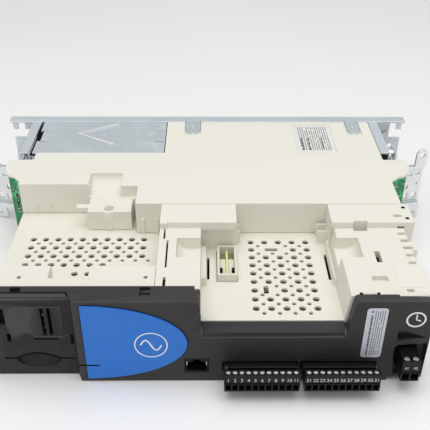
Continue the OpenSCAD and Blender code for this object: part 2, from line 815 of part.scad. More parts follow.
// The bay's space in front of y, or a groove between near and y, with its sloping end
module keypad_bay(z, y, near = -1) {
    slope = rim_slope * (y - 0.6) / (keypad_y - 0.6);
    edge = keypad_x1 - (y > keypad_y ? 0.12 : 0);
    groove = 0.6;
    prism_z(z, concat(
        near < 0 ? [[end_t - 1, -1], [edge, -1]] :
            [[end_t - 1, near], [edge - slope - groove, near], [edge - groove, 0.6]],
        [[edge, 0.6], [edge - slope, y], [end_t - 1, y]]));
}

module front_bezel() {
    left = end_t + 0.4;
    right = end_b - 1.6;
    color([0.16, 0.16, 0.17]) from_front() difference() {
        union() {
            difference() {
                union() {
                    prism_y([0, 9.6], bezel_outline());
                    block([left, bay_x0 - 3], [9, bezel_rear_top], [0.2, z_top - 0.6]);
                    block([bay_x0 - 3.1, right], [9, bezel_rear_top], [0.2, bay_lip_z - 4]);
                    block([bay_x0 - 3.1, bay_x0], [9, bezel_rear_top], [0.2, z_top - 3.6]);
                }
                // Inside of the shell
                block([keypad_x1 + 2, bay_x0 - 2.2], [bezel_wall, 20], [2.4, z_top - 3.4]);
                block([left + 2, keypad_x1 + 2.1], [keypad_y + 2.6, 20], [2.4, rim_z]);
                block([bay_x0 - 2.3, right - 2], [bezel_wall, 20], [2.4, bay_lip_z - 2.2]);
                block([bay_x1 + 4.4, right - 2], [bezel_wall, 20], [2.4, z_top - 2.8]);
                block([bay_x1 - 0.1, right + 1], [bezel_rear_bottom, 10], [34, z_top + 1]);
                block([105.8, right + 1], [4.4, 10], [34, z_top + 1]);
            }
            // Thicker wall for the recesses of the lamp and the relay terminals
            block([104.4, right - 1], [bezel_wall - eps, 6.2], [2.3, 41.6]);
        }
        // Keypad bay, open along its full height, with a sloping wall beside the badge
        keypad_bay([-1, z_top + 1], keypad_y);
        block([left - 1, keypad_x1 - rim_slope + 0.1], [0, keypad_y + 0.9], [-1, rim_z]);
        block([left + 2, keypad_x1 - 4.3], [keypad_y - 1, 20], [2.4, rim_z]);
        // Step along the module bay's lip
        block([bay_x0 + 1.2, bay_x1 - 1.2], [-1, 0.6], [bay_lip_z - 3.4, bay_lip_z + 1]);
        // Ledge and grooves along the keypad bay's rim
        keypad_bay([z_top - 1.1, z_top + 1], rim_y);
        keypad_bay([z_top - 2, z_top + 1], rim_y, rim_y - 0.6);
        block([left - 1, keypad_x1 - rim_slope], [0, keypad_y + 0.6], [z_top - 2.7, z_top - 1.8]);
        // Clip windows
        block([-110, -104.4], [9.3, 12.8], [z_top - 4, z_top + 1]);
        block([-38, -32.4], [5.2, 12.8], [z_top - 4, z_top + 1]);
        // Terminal openings
        for (x = [plug_a_x, plug_b_x])
            block([x - plug_w / 2 - 0.8, x + plug_w / 2 + 0.8], [-1, 20],
                [plug_z0 - 0.8, plug_z0 + plug_h - plug_low + 1.2]);
        block([relay_x - relay_w / 2 - 0.9, relay_x + relay_w / 2 + 0.9], [-1, 20],
            [relay_z0 - 0.8, relay_z0 + relay_h + 1.2]);
        // Bay around the relay terminals
        prism_y([-1, relay_bay], [[106.6, 26.5], [108.2, 28.6], [125.2, 30.2], [125.2, 5.6],
            [108.4, 5.6]]);
        // Network socket
        block([network_x[0] - 0.2, network_x[1] + 0.2], [-1, 20],
            [network_z[0] - 0.2, network_z[1] + 0.2]);
        // Six-sided recess that shades the status lamp
        intersection() {
            prism_y([-1, lamp_recess], [[106.9, 38.6], [108.5, 39.4], [111.5, 39.5], [123.1, 34.8],
                [118.2, 33.9], [112, 32.6], [107.5, 32]]);
            prism_z([30, 42], [[105, -1], [124, -1], [123.4, 0.4], [114, lamp_recess],
                [105, lamp_recess]]);
        }
        rod_y(112, [-1, 9], 36.8, 1.3);
        // Seats for the badge and the labels
        prism_y([-1, 0.4], badge_outline(0.2));
        prism_y([-1, 0.25], label_outline(0.2));
        // Lower corner at the bottom end
        block([105.5, right + 1], [-1, 20], [-1, 2.6]);
    }
}

function badge_outline(extra) = concat(
    [[badge_x0 - extra, badge_mid_z - badge_half - extra]],
    arc(badge_x0, badge_mid_z, badge_len + extra, badge_half + extra, -90, 90, 36),
    [[badge_x0 - extra, badge_mid_z + badge_half + extra]]);

module badge_plate() {
    color("SteelBlue") from_front() prism_y([-badge_t, 0.4 - eps], badge_outline(0));
}

// Slot for a memory card: level, with an arch over the finger scoop
function card_slot(side) = concat(
    [[-119.3, 13.4 + side], [-112.4, 13.4 + side]],
    [for (i = [1:11]) [-112.4 + i * 2.18, 13.4 + side + 4.2 * sin(i * 15)]],
    [[-86.2, 13.4 + side], [keypad_x1 - rim_slope - 0.8, 12.9 + side]]);

function reversed(points) = [for (i = [len(points) - 1:-1:0]) points[i]];

module keypad_panel() {
    // Floor of the keypad bay, with its contact slots, card slot and finger scoop
    left = end_t + 0.4;
    y = [keypad_y, keypad_y + 2.4];
    cut = [keypad_y - 1, keypad_y + 4];
    scoop_r = 9;
    color([0.2, 0.2, 0.21]) from_front() difference() {
        union() {
            block([left, keypad_x1 - rim_slope], [keypad_y, keypad_y + 0.8], [0.2, rim_z - 0.1]);
            block([left + 2.2, keypad_x1 - 4.5], y, [2.6, rim_z - 0.2]);
            // Low platform around the contacts
            prism_y([keypad_y - 0.4, keypad_y + 1],
                [[-103.5, 34], [-100, 31], [-85.4, 31], [-82.4, 34], [-82.4, 53.6], [-103.5, 53.6]]);
        }
        block([-119, -114.6], cut, [39.7, 51.5]);
        for (x = [-94.1, -90.3])
            block([x, x + 1.9], cut, [31.9, 52.3]);
        block([-115.4, -113.2], cut, [26.4, 32.7]);
        block([-79.2, keypad_x1 + 1], cut, [25, 32.2]);
        block([-100.1, -85.5], [keypad_y - 1, keypad_y + 1.2], [28.1, 29.4]);
        prism_y(cut, concat(card_slot(0.55), reversed(card_slot(-0.55))));
        // Finger scoop under the arch
        intersection() {
            rod_x([-112.5, -85], keypad_y + 1.9 - scoop_r, 11.6, scoop_r);
            prism_y([keypad_y - 1, keypad_y + 2.2],
                concat(arc(-99.2, 13, 12.9, 6.9, 180, 360, 16), [[-99.2, 17.4]]));
        }
    }
}

module keypad_pins() {
    color("Gold") from_front()
        for (x = [-94.1, -90.3], i = [0:3])
            block([x + 0.6, x + 1.3], [keypad_y + 3, keypad_y + 5.6],
                [34 + i * 4.8, 36.2 + i * 4.8]);
}

module card_reader() {
    color([0.12, 0.12, 0.13]) from_front() difference() {
        block([-123, -77], [keypad_y + 2.7, 22], [9, 18.4]);
        block([-121.6, -78.4], [keypad_y + 2, 20], [12.7, 14.5]);
    }
}

module network_socket() {
    // Eight-way socket with the latch groove above the opening
    mid = (network_x[0] + network_x[1]) / 2;
    color("DimGray") from_front() difference() {
        block(network_x, [0.4, 15], network_z);
        block([mid - 5.9, mid + 5.9], [-1, 13], [network_z[0] + 1.2, network_z[0] + 7.8]);
        block([mid - 3.2, mid + 3.2], [-1, 12], [network_z[0] + 7.7, network_z[0] + 8.9]);
        block([mid - 1.8, mid + 1.8], [-1, 11], [network_z[0] + 8.8, network_z[0] + 10]);
    }
}

module network_pins() {
    mid = (network_x[0] + network_x[1]) / 2;
    color("Gold") from_front()
        for (i = [-3.5:1:3.5])
            block([mid + i * 1.02 - 0.2, mid + i * 1.02 + 0.2], [4, 12.9],
                [network_z[0] + 1.25, network_z[0] + 1.7]);
}

// ---- Plug-in terminals ----

module header(mid, w, z0, h, poles, pitch, front, tip) {
    // Open-fronted socket with one pin for each pole, from tip back
    difference() {
        block([mid - w / 2 - 0.65, mid + w / 2 + 0.65], [front, header_rear + 2],
            [z0 - 0.7, z0 + h + 0.9]);
        block([mid - w / 2 - 0.15, mid + w / 2 + 0.15], [-1, header_rear], [z0 - 0.1, z0 + h + 0.15]);
    }
    for (i = [0:poles - 1])
        block([mid + (i - (poles - 1) / 2) * pitch - 0.5, mid + (i - (poles - 1) / 2) * pitch + 0.5],
            [tip, header_rear + 0.1], [z0 + h / 2 - 0.5, z0 + h / 2 + 0.5]);
}

screw_setback = 3.1;

module plug(mid, w, z0, h, poles, pitch, proud, step_y, low, rear) {
    // Screw holes in the top, wire entries in the front and a ledge above the wire entries.
    // The top drops by low behind step_y
    entry_top = z0 + 2.8 + pitch * 0.6;
    difference() {
        union() {
            block([mid - w / 2, mid + w / 2], [-proud, step_y], [z0, entry_top + 0.5]);
            block([mid - w / 2, mid + w / 2], [-proud + 0.6, step_y], [z0, z0 + h]);
            block([mid - w / 2, mid + w / 2], [step_y - 1, rear], [z0, z0 + h - low]);
        }
        for (i = [0:poles - 1]) {
            x = mid + (i - (poles - 1) / 2) * pitch;
            rod_z(x, -proud + screw_setback, [z0 + h / 2, z0 + h + 1], pitch * 0.36);
            block([x - pitch * 0.38, x + pitch * 0.38], [-proud - 1, -proud + 4.6],
                [z0 + 0.9, entry_top]);
        }
    }
}

module plug_rib(mid, w, z0, h, low) {
    // Rib along the top behind the screws, which a finger pulls on
    block([mid - w / 2, mid + w / 2], [-8.6, -7.2], [z0 + h - low - eps, z0 + h - 1.5]);
}

module plug_screws(mid, z0, h, poles, pitch, proud) {
    head = pitch * 0.33;
    for (i = [0:poles - 1]) {
        x = mid + (i - (poles - 1) / 2) * pitch;
        difference() {
            rod_z(x, -proud + screw_setback, [z0 + h / 2 + 0.1, z0 + h - 0.6], head);
            block([x - head - 0.5, x + head + 0.5],
                [-proud + screw_setback - 0.25, -proud + screw_setback + 0.25],
                [z0 + h - 1.2, z0 + h]);
        }
    }
}

module control_header_a() {
    color("DimGray") from_front()
        header(plug_a_x, plug_w, plug_z0, plug_h - plug_low, control_poles, control_pitch, 1.4,
            plug_rear + 0.3);
}

module control_header_b() {
    color("DimGray") from_front()
        header(plug_b_x, plug_w, plug_z0, plug_h - plug_low, control_poles, control_pitch, 1.4,
            plug_rear + 0.3);
}

module relay_header() {
    color("DimGray") from_front()
        header(relay_x, relay_w, relay_z0, relay_h, 2, relay_pitch, relay_bay + 0.2,
            relay_rear + 0.3);
}

module control_plug_a() {
    color([0.13, 0.13, 0.14]) from_front() {
        plug(plug_a_x, plug_w, plug_z0, plug_h, control_poles, control_pitch, plug_proud,
            -plug_step, plug_low, plug_rear);
        plug_rib(plug_a_x, plug_w, plug_z0, plug_h, plug_low);
    }
}

module plug_a_screws() {
    color("Silver") from_front()
        plug_screws(plug_a_x, plug_z0, plug_h, control_poles, control_pitch, plug_proud);
}

module control_plug_b() {
    color([0.13, 0.13, 0.14]) from_front() {
        plug(plug_b_x, plug_w, plug_z0, plug_h, control_poles, control_pitch, plug_proud,
            -plug_step, plug_low, plug_rear);
        plug_rib(plug_b_x, plug_w, plug_z0, plug_h, plug_low);
    }
}

module plug_b_screws() {
    color("Silver") from_front()
        plug_screws(plug_b_x, plug_z0, plug_h, control_poles, control_pitch, plug_proud);
}

module relay_plug() {
    color([0.13, 0.13, 0.14]) from_front()
        plug(relay_x, relay_w, relay_z0, relay_h, 2, relay_pitch, relay_proud, 2, 0.6,
            relay_rear);
}

module relay_screws() {
    color("Silver") from_front()
        plug_screws(relay_x, relay_z0, relay_h, 2, relay_pitch, relay_proud);
}

module status_lamp() {
    color("DarkRed") from_front() {
        rod_y(112, [lamp_recess - 1, 9], 36.8, 1.2);
    }
}

// Upright label with round corners
function label_outline(extra) = [for (corner = [0:3])
    let (right = corner == 0 || corner == 3, upper = corner < 2,
        x = right ? label_x[1] + extra - label_r : label_x[0] - extra + label_r,
        z = upper ? label_z[1] + extra - label_r : label_z[0] - extra + label_r)
    each arc(x, z, label_r, label_r, 90 * corner, 90 * corner + 90, 6)];

module front_label() {
    color("Silver") from_front() prism_y([0.02, 0.24], label_outline(0));
}

module front_mark() {
    // Plain printed ring
    color("White") from_front() difference() {
        rod_y(115.6, [-0.15, -0.01], 48.4, 5.6);
        rod_y(115.6, [-1, 1], 48.4, 4.6);
    }
}

module rating_label() {
    color("White") from_front() block([67.4, 95.4], [166.1, 209.4], [z_top - 0.29, z_top - 0.05]);
}

// ---- Earthing brackets ----

bracket_y = 169;
bracket_foot = 140.6;
bracket_len = 26;
bracket_tilt = 12;
bracket_fold = [14.5, 45.5];
bracket_tab = 21;
tab_r = 4.6;
tab_z = 56.4;
foot_screw_y = 8;
foot_screw_z = 6.9;
foot_stud_z = 55.1;

module bracket_plate() {
    // Screen-clamping plate with folds above and below, drawn from its foot outwards
    front = 2;
    tab_x = [bracket_tab - tab_r, bracket_tab + tab_r];
    low_y = [-front - 1, sheet - front - 1];
    difference() {
        union() {
            block([0, bracket_len - 1], [0, sheet], bracket_fold);
            block([10, bracket_len - 1], [-front, sheet],
                [bracket_fold[1] - eps, bracket_fold[1] + 1.5]);
            block(tab_x, [-front, sheet - front], [bracket_fold[1] + 1, tab_z]);
            rod_y(bracket_tab, [-front, sheet - front], tab_z, tab_r);
            block([0, bracket_len - 1.5], [low_y[0], sheet],
                [bracket_fold[0] - 1.5, bracket_fold[0] + eps]);
            block([4, bracket_len - 1.5], low_y, [10, bracket_fold[0]]);
            block(tab_x, low_y, [2, 11]);
        }
        rod_y(bracket_tab, [-front - 2, 4], tab_z, 2.25);
        rod_y(bracket_tab, [-front - 2, 4], 6, 1.6);
        rod_y(bracket_tab, [-front - 2, 4], 30.5, 1.2);
        rod_y(12, [-front - 2, 4], 28.5, 2.6);
        // Hooks and windows for cable ties
        block([12.7, 16.2], [-1, 4], [38, 39.8]);
        block([19, 22.4], [-1, 4], [38.8, 40.6]);
        block([11, 15.5], [-1, 4], [17, 22]);
        block([18, 22.5], [-1, 4], [17.5, 22.5]);
    }
}

module bracket(duct_end_x) {
    // The plate leans back from a foot that stands off the end of the duct on two collars
    collar = [duct_end_x + 0.05 - bracket_foot, 0];
    translate([bracket_foot, bracket_y, 0]) {
        rotate([0, 0, bracket_tilt]) bracket_plate();
        difference() {
            union() {
                block([-0.5, sheet - 0.5], [0.2, 4], [2.8, 59.2]);
                for (z = [foot_screw_z, foot_stud_z]) {
                    block([-0.5, sheet - 0.5], [0.2, 12], [z - 4, z + 4]);
                    rod_x(collar, foot_screw_y, z, 3.2);
                }
            }
            rod_x([collar[0] - 1, 3], foot_screw_y, foot_screw_z, 1.7);
        }
    }
}

module earth_bracket_bottom() {
    color("LightSteelBlue") from_front() bracket(inlet_x);
}

module earth_bracket_top() {
    color("LightSteelBlue") from_front() mirror([1, 0, 0]) bracket(-outlet_x);
}

module foot_screw(duct_end_x) {
    // Slotted screw that holds a bracket's foot to the end of the duct
    head_x = bracket_foot + sheet - 0.45;
    translate([0, bracket_y, 0]) difference() {
        union() {
            rod_x([head_x, head_x + 2.2], foot_screw_y, foot_screw_z, 3.2);
            rod_x([duct_end_x - sheet + 0.1, head_x + 1], foot_screw_y, foot_screw_z, 1.6);
        }
        block([head_x + 1.3, head_x + 3], [foot_screw_y - 2.4, foot_screw_y + 2.4],
            [foot_screw_z - 0.4, foot_screw_z + 0.4]);
    }
}

module bracket_screws() {
    color("Silver") from_front() {
        foot_screw(inlet_x);
        mirror([1, 0, 0]) foot_screw(-outlet_x);
    }
}

// ---- End sockets ----

module end_socket(x, y, z, ways, mouth) {
    // Row of square ways in a plain moulded block, open at the mouth side
    pitch = (y[1] - y[0]) / ways;
    difference() {
        block(x, y, z);
        for (i = [0:ways - 1])
            block(mouth > 0 ? [x[0] + 3, x[1] + 1] : [x[0] - 1, x[1] - 3],
                [y[0] + i * pitch + 1, y[0] + (i + 1) * pitch - 1], [z[0] + 2, z[1] - 2]);
    }
}

module supply_socket() {
    color("DarkSlateGray") from_front()
        end_socket([end_t, end_t + 20], [42, 94], [6, 22], 6, -1);
}

module motor_socket() {
    color("DarkSlateGray") from_front()
        end_socket([end_b - 20, end_b], [52, 94], [6, 22], 5, 1);
}

module encoder_socket() {
    color("Silver") from_front() difference() {
        block([end_b - 14, end_b], [21, 47], [8, 20]);
        block([end_b - 6, end_b + 1], [23, 45], [9.6, 18.4]);
    }
}

mounting_plate();
outlet_frame();
inlet_frame();
duct_skin();
heatsink();
brake_resistor();
resistor_cover();
cover_clip();
cover_rivets();
fan_frame();
fan_rotor();
fan_guard();
power_board();
igbt_module();
rectifier_module();
bus_capacitors();
filter_choke();
filter_capacitors();
inrush_relay();
board_link();
board_spacers();
control_board();
processor_chip();
splash_screen();
base_shell();
rear_side_cover();
cover_screw();
top_front_cover();
module_bay_cover();
module_socket();
module_blade();
front_bezel();
badge_plate();
keypad_panel();
keypad_pins();
card_reader();
network_socket();
network_pins();
control_header_a();
control_header_b();
relay_header();
control_plug_a();
plug_a_screws();
control_plug_b();
plug_b_screws();
relay_plug();
relay_screws();
status_lamp();
front_label();
front_mark();
rating_label();
earth_bracket_top();
earth_bracket_bottom();
bracket_screws();
supply_socket();
motor_socket();
encoder_socket();
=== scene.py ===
"""Looks of the servo drive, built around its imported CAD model."""

import math
import random

import bmesh
import bpy
from mathutils import Matrix, Vector


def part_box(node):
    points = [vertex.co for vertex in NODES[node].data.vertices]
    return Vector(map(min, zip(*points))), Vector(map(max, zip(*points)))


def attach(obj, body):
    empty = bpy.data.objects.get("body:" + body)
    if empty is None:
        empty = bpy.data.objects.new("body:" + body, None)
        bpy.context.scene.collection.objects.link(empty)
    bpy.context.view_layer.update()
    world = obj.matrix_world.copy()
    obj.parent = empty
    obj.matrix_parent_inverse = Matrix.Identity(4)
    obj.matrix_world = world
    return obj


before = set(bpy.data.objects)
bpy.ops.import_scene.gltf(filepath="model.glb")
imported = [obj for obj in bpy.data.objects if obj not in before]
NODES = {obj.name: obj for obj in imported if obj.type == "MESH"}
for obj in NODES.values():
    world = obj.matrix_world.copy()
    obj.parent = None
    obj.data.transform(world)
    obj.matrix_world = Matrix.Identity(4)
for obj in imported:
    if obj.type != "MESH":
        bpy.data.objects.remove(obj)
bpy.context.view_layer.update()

MM = 0.001

# Places below are millimetres from the drive's middle, its bezel's front face and its lower side
FRONT_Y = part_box("front_bezel")[0].y
SIDE_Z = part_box("mounting_plate")[0].z


def at(x, y, z):
    """The point in the frame, in metres, for a place given in millimetres."""
    return Vector((x * MM, FRONT_Y + y * MM, SIDE_Z + z * MM))


def place_of(node):
    """A node's lowest and highest corners as places in millimetres."""
    low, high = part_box(node)
    shift = Vector((0, FRONT_Y, SIDE_Z))
    return (low - shift) / MM, (high - shift) / MM


# ---- Materials ----

class Shading:
    """A material's node tree, with short calls for the nodes used here."""

    def __init__(self, name):
        self.material = bpy.data.materials.new(name)
        self.material.use_nodes = True
        self.tree = self.material.node_tree
        self.shader = self.tree.nodes["Principled BSDF"]
        self.places = self.tree.nodes.new("ShaderNodeTexCoord").outputs["Object"]

    def node(self, kind, links=None, **settings):
        made = self.tree.nodes.new(kind)
        for key, value in settings.items():
            setattr(made, key, value)
        for socket, source in (links or {}).items():
            if hasattr(source, "is_output"):
                self.tree.links.new(source, made.inputs[socket])
            else:
                made.inputs[socket].default_value = source
        return made

    def stretched(self, scale):
        """Object places stretched along each axis, for grain with a direction."""
        return self.node("ShaderNodeMapping", {"Vector": self.places, "Scale": scale}).outputs[0]

    @property
    def turned(self):
        """Object places with height in the second channel, for upright brick patterns."""
        parts = self.node("ShaderNodeSeparateXYZ", {"Vector": self.places}).outputs
        links = {"X": parts["X"], "Y": parts["Z"], "Z": parts["Y"]}
        return self.node("ShaderNodeCombineXYZ", links).outputs["Vector"]

    def noise(self, scale, detail=3.0, vector=None):
        links = {"Vector": vector or self.places, "Scale": scale, "Detail": detail}
        return self.node("ShaderNodeTexNoise", links).outputs["Fac"]

    def ramp(self, value, low, high, low_out=0.0, high_out=1.0):
        links = {"Value": value, "From Min": low, "From Max": high, "To Min": low_out, "To Max": high_out}
        return self.node("ShaderNodeMapRange", links).outputs["Result"]

    def mix(self, factor, first, second):
        mixed = self.node("ShaderNodeMix", data_type="RGBA")
        for socket, source in ((0, factor), (6, first), (7, second)):
            if hasattr(source, "is_output"):
                self.tree.links.new(source, mixed.inputs[socket])
            else:
                mixed.inputs[socket].default_value = source if socket == 0 else (*source, 1.0)
        return mixed.outputs[2]

    def feed(self, socket, source):
        if hasattr(source, "is_output"):
            self.tree.links.new(source, self.shader.inputs[socket])
        else:
            self.shader.inputs[socket].default_value = source

    def bump(self, height, strength, distance):
        links = {"Height": height, "Strength": strength, "Distance": distance}
        self.feed("Normal", self.node("ShaderNodeBump", links).outputs["Normal"])

    def edges(self, low=0.52, high=0.62):
        """High along outer edges, where the finishes paint a highlight."""
        sharpness = self.node("ShaderNodeNewGeometry").outputs["Pointiness"]
        return self.ramp(sharpness, low, high)


def shade(colour, factor):
    return tuple(channel * factor for channel in colour)


def moulded(name, colour, roughness=0.5, texture=1400, depth=0.00004, streak=0.93, edge_highlight=1.08,
        specular=0.5):
    """Moulded plastic: spark-eroded texture, faint flow streaks, and a painted highlight on its edges."""
    s = Shading(name)
    cloud = s.ramp(s.noise(38, 4), 0.35, 0.7)
    flow = s.ramp(s.noise(9, 2, s.stretched((1, 6, 3))), 0.4, 0.65)
    base = s.mix(cloud, colour, shade(colour, streak))
    base = s.mix(flow, base, shade(colour, (1 + streak) / 2))
    # Painted highlight: the colour is lightened along outer edges
    base = s.mix(s.edges(), base, tuple(min(0.95, channel * edge_highlight) for channel in colour))
    s.feed("Base Color", base)
    s.feed("Roughness", s.ramp(s.noise(260, 5), 0.3, 0.7, roughness - 0.06, roughness + 0.1))
    s.feed("Specular IOR Level", specular)
    s.bump(s.noise(texture, 2), 0.35, depth)
    return s.material


def zinc(name, colour, roughness=0.42, grain=(4, 90, 90)):
    """Zinc-plated sheet: rolling marks, faint spangle, duller handling patches, and a painted highlight
    on its edges.
    """
    s = Shading(name)
    spangle = s.node("ShaderNodeTexVoronoi", {"Vector": s.places, "Scale": 210.0}).outputs["Distance"]
    marks = s.noise(60, 6, s.stretched(grain))
    patches = s.ramp(s.noise(22, 3), 0.4, 0.68)
    base = s.mix(s.ramp(spangle, 0.0, 0.6), colour, shade(colour, 0.93))
    base = s.mix(patches, base, shade(colour, 0.86))
    # Painted highlight: the colour is lightened along outer edges
    base = s.mix(s.edges(0.53, 0.6), base, shade(colour, 1.12))
    s.feed("Base Color", base)
    s.feed("Metallic", 0.82)
    s.feed("Roughness", s.ramp(marks, 0.3, 0.7, roughness - 0.04, roughness + 0.08))
    s.bump(marks, 0.15, 0.00002)
    return s.material


def plated(name, colour, roughness):
    """Plated or bare metal with turning marks, for screws, pins and shields."""
    s = Shading(name)
    marks = s.noise(30, 4, s.stretched((300, 300, 40)))
    s.feed("Base Color", s.mix(s.ramp(s.noise(160, 3), 0.4, 0.7), colour, shade(colour, 0.8)))
    s.feed("Metallic", 1.0)
    s.feed("Roughness", s.ramp(marks, 0.3, 0.7, roughness * 0.7, roughness * 1.3))
    s.bump(marks, 0.3, 0.00002)
    return s.material


def board(name, colour):
    """Circuit board: solder mask over tracks and copper areas, bare pads and vias."""
    s = Shading(name)
    tracks = s.node("ShaderNodeTexBrick", {"Vector": s.turned, "Color1": (1, 1, 1, 1),
        "Color2": (0.6, 0.6, 0.6, 1), "Mortar": (0, 0, 0, 1), "Scale": 230.0, "Mortar Size": 0.03})
    areas = s.node("ShaderNodeTexVoronoi", {"Vector": s.places, "Scale": 120.0},
        distance="CHEBYCHEV").outputs["Color"]
    spots = s.node("ShaderNodeTexVoronoi", {"Vector": s.places, "Scale": 330.0}).outputs["Distance"]
    base = s.mix(s.ramp(areas, 0.35, 0.6), shade(colour, 0.45), shade(colour, 1.5))
    base = s.mix(s.ramp(s.noise(150, 2), 0.5, 0.56), base, shade(colour, 0.4))
    base = s.mix(s.ramp(tracks.outputs["Fac"], 0.0, 1.0, 0.0, 0.5), base, shade(colour, 2.4))
    base = s.mix(s.ramp(spots, 0.2, 0.14), base, (0.62, 0.64, 0.55))
    s.feed("Base Color", base)
    s.feed("Roughness", s.ramp(s.noise(90, 2), 0.3, 0.7, 0.22, 0.38))
    s.feed("Coat Weight", 0.15)
    s.bump(tracks.outputs["Fac"], 0.3, 0.00003)
    return s.material


def printed(name, colour, roughness=0.4, fleck=0.92):
    """Printed film or ink: an even colour with a faint fleck and a soft sheen."""
    s = Shading(name)
    s.feed("Base Color", s.mix(s.ramp(s.noise(500, 3), 0.4, 0.65), colour, shade(colour, fleck)))
    s.feed("Roughness", s.ramp(s.noise(70, 2), 0.3, 0.7, roughness - 0.05, roughness + 0.08))
    s.bump(s.noise(900, 2), 0.15, 0.00002)
    return s.material


def wound(name, colour):
    """Enamelled wire wound closely: fine bands with a varnished gloss."""
    s = Shading(name)
    bands = s.node("ShaderNodeTexWave", {"Vector": s.places, "Scale": 420.0, "Distortion": 0.6})
    s.feed("Base Color", s.mix(bands.outputs["Fac"], colour, shade(colour, 0.45)))
    s.feed("Roughness", s.ramp(s.noise(80, 2), 0.3, 0.7, 0.2, 0.35))
    s.bump(bands.outputs["Fac"], 0.6, 0.0002)
    return s.material


IVORY = moulded("ivory", (0.825, 0.808, 0.717), 0.48, texture=1100, streak=0.965, edge_highlight=1.04)
# A darker, yellower ivory for parts set deep in the covers: painted shade
IVORY_SHADED = moulded("ivory_shaded", (0.74, 0.725, 0.62), 0.5, texture=1100, streak=0.95, edge_highlight=1.04)
CHARCOAL = moulded("charcoal", (0.038, 0.037, 0.038), 0.5, texture=900, depth=0.00006,
    streak=0.84, edge_highlight=3.2, specular=0.18)
CHARCOAL_PANEL = moulded("charcoal_panel", (0.030, 0.030, 0.031), 0.5, streak=0.84, edge_highlight=2.4,
    specular=0.14)
TERMINAL_BLACK = moulded("terminal_black", (0.007, 0.007, 0.0085), 0.36, texture=700, streak=0.8,
    edge_highlight=3.0, specular=0.2)
HEADER_BLACK = moulded("header_black", (0.004, 0.004, 0.0045), 0.5, texture=700, streak=0.8,
    edge_highlight=2, specular=0.2)
FOAM_BLACK = moulded("foam_black", (0.004, 0.004, 0.004), 0.8, texture=300, depth=0.0002,
    streak=0.7, edge_highlight=1.5, specular=0.1)
SLATE = moulded("slate", (0.04, 0.055, 0.06), 0.45, texture=700, streak=0.85, edge_highlight=1.5)
FAN_BLACK = moulded("fan_black", (0.014, 0.014, 0.015), 0.4, texture=600, streak=0.8, edge_highlight=2)
BADGE_BLUE = printed("badge_blue", (0.012, 0.175, 0.66), 0.5, 0.95)
ZINC = zinc("zinc", (0.80, 0.87, 0.92))
ZINC_BRIGHT = zinc("zinc_bright", (0.88, 0.905, 0.92), 0.28, (60, 60, 8))
# A lighter zinc, used only for the painted highlight along the resistor cover's rib
RIB_HIGHLIGHT_ZINC = zinc("rib_highlight_zinc", (0.97, 0.98, 0.99), 0.5, (60, 60, 8))
ALUMINIUM = zinc("aluminium", (0.72, 0.73, 0.75), 0.38, (3, 60, 60))
SCREW_STEEL = plated("screw_steel", (0.95, 0.96, 0.97), 0.2)
WIRE_STEEL = plated("wire_steel", (0.70, 0.71, 0.73), 0.22)
# A dark gold for pins deep in their slots: painted shade
SHADED_GOLD = plated("gold", (0.34, 0.25, 0.09), 0.35)
BRASS = plated("brass", (0.72, 0.53, 0.24), 0.32)
CHROME = plated("chrome", (0.82, 0.83, 0.84), 0.15)
CONTACT_BROWN = plated("contact_brown", (0.22, 0.15, 0.07), 0.4)
BOARD_GREEN = board("board_green", (0.032, 0.34, 0.135))
LABEL_SILVER = printed("label_silver", (0.62, 0.64, 0.71), 0.4, 0.94)
LABEL_WHITE = printed("label_white", (0.79, 0.79, 0.765), 0.45, 0.97)
INK_WHITE = printed("ink_white", (0.86, 0.87, 0.88), 0.5)
INK_PALE = printed("ink_pale", (0.55, 0.56, 0.58), 0.5)
INK_GREY = printed("ink_grey", (0.10, 0.10, 0.115), 0.5)
INK_FAINT = printed("ink_faint", (0.12, 0.122, 0.13), 0.5)
CODING_ORANGE = moulded("coding_orange", (0.26, 0.05, 0.018), 0.4, texture=500)
LIME = moulded("lime", (0.74, 0.84, 0.30), 0.35, texture=600, streak=0.9, edge_highlight=1.05)
# A dark tan for the deep well of the module socket: painted shade
WELL_SHADE_TAN = moulded("well_shade_tan", (0.30, 0.27, 0.17), 0.5, texture=500)
LAMP = printed("lamp", (0.05, 0.08, 0.03), 0.15)
SLEEVE = printed("sleeve", (0.02, 0.035, 0.10), 0.25)
COPPER = wound("copper", (0.62, 0.27, 0.08))
FILM_YELLOW = moulded("film_yellow", (0.75, 0.50, 0.08), 0.3, texture=400)
RELAY_BLUE = moulded("relay_blue", (0.03, 0.07, 0.26), 0.35, texture=400)
MODULE_WHITE = moulded("module_white", (0.78, 0.78, 0.75), 0.45, texture=500)
MODULE_GREY = moulded("module_grey", (0.35, 0.36, 0.37), 0.45, texture=500)
SCREEN_CARD = moulded("screen_card", (0.42, 0.40, 0.32), 0.6, texture=500)
PART_TAN = moulded("part_tan", (0.50, 0.36, 0.20), 0.4, texture=500)
CHIP = moulded("chip", (0.014, 0.014, 0.015), 0.3, texture=900)

